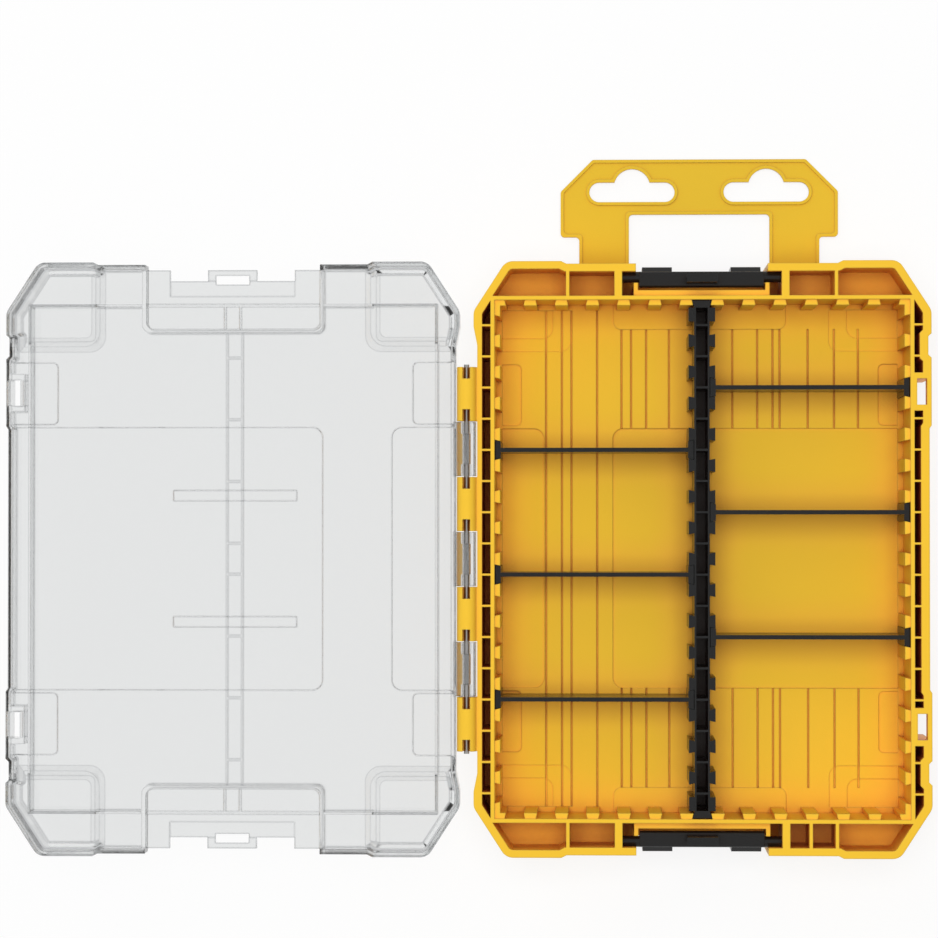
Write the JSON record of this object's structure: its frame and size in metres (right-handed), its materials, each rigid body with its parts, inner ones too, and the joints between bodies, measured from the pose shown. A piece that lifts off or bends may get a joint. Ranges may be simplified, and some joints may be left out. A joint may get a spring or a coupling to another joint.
{
  "type": "compartment toolbox",
  "caption": "Small-parts case with a clear hinged lid, two end latches, lift-out dividers in dovetail sockets and a slide-out hanger.",
  "frame": {"origin": "middle of the tray's underside", "axes": "+X from the hinge side to the far side, +Y towards the end with the hanger, +Z from the back to the open front"},
  "size_m": [0.3492, 0.2664, 0.0434],
  "materials": {
    "case_yellow": "satin moulded polypropylene",
    "hanger_yellow": "fine matt moulded plastic",
    "black_plastic": "satin moulded plastic",
    "lid_clear": "clear polished polycarbonate",
    "pin_steel": "drawn steel wire"
  },
  "bodies": {
    "base": {"base_tray": "case_yellow", "hinge_pin": "pin_steel"},
    "lid": {"lid": "lid_clear"},
    "latch_top": {"latch_top": "black_plastic"},
    "latch_bottom": {"latch_bottom": "black_plastic"},
    "hanger": {"hanger": "hanger_yellow"},
    "centre_divider": {"centre_divider": "black_plastic"},
    "divider_left_1": {"divider_left_1": "black_plastic"},
    "divider_left_2": {"divider_left_2": "black_plastic"},
    "divider_left_3": {"divider_left_3": "black_plastic"},
    "divider_right_1": {"divider_right_1": "black_plastic"},
    "divider_right_2": {"divider_right_2": "black_plastic"},
    "divider_right_3": {"divider_right_3": "black_plastic"}
  },
  "joints": [
    {"name": "lid_hinge", "type": "hinge", "parent": "base", "child": "lid", "pos_m": [-0.0886, 0, 0.038], "axis": [0, -1, 0], "range_deg": [-180, 0]},
    {"name": "latch_top_pivot", "type": "hinge", "parent": "base", "child": "latch_top", "pos_m": [0, 0.1066, 0.031], "axis": [1, 0, 0], "range_deg": [-8, 25]},
    {"name": "latch_bottom_pivot", "type": "hinge", "parent": "base", "child": "latch_bottom", "pos_m": [0, -0.1066, 0.031], "axis": [-1, 0, 0], "range_deg": [-8, 25]},
    {"name": "hanger_slide", "type": "slide", "parent": "base", "child": "hanger", "axis": [0, 1, 0], "range_m": [-0.042, 0]},
    {"name": "centre_divider_lift", "type": "slide", "parent": "base", "child": "centre_divider", "axis": [0, 0, 1], "range_m": [0, 0.04]},
    {"name": "divider_left_1_lift", "type": "slide", "parent": "base", "child": "divider_left_1", "axis": [0, 0, 1], "range_m": [0, 0.04]},
    {"name": "divider_left_2_lift", "type": "slide", "parent": "base", "child": "divider_left_2", "axis": [0, 0, 1], "range_m": [0, 0.04]},
    {"name": "divider_left_3_lift", "type": "slide", "parent": "base", "child": "divider_left_3", "axis": [0, 0, 1], "range_m": [0, 0.04]},
    {"name": "divider_right_1_lift", "type": "slide", "parent": "base", "child": "divider_right_1", "axis": [0, 0, 1], "range_m": [0, 0.04]},
    {"name": "divider_right_2_lift", "type": "slide", "parent": "base", "child": "divider_right_2", "axis": [0, 0, 1], "range_m": [0, 0.04]},
    {"name": "divider_right_3_lift", "type": "slide", "parent": "base", "child": "divider_right_3", "axis": [0, 0, 1], "range_m": [0, 0.04]}
  ]
}
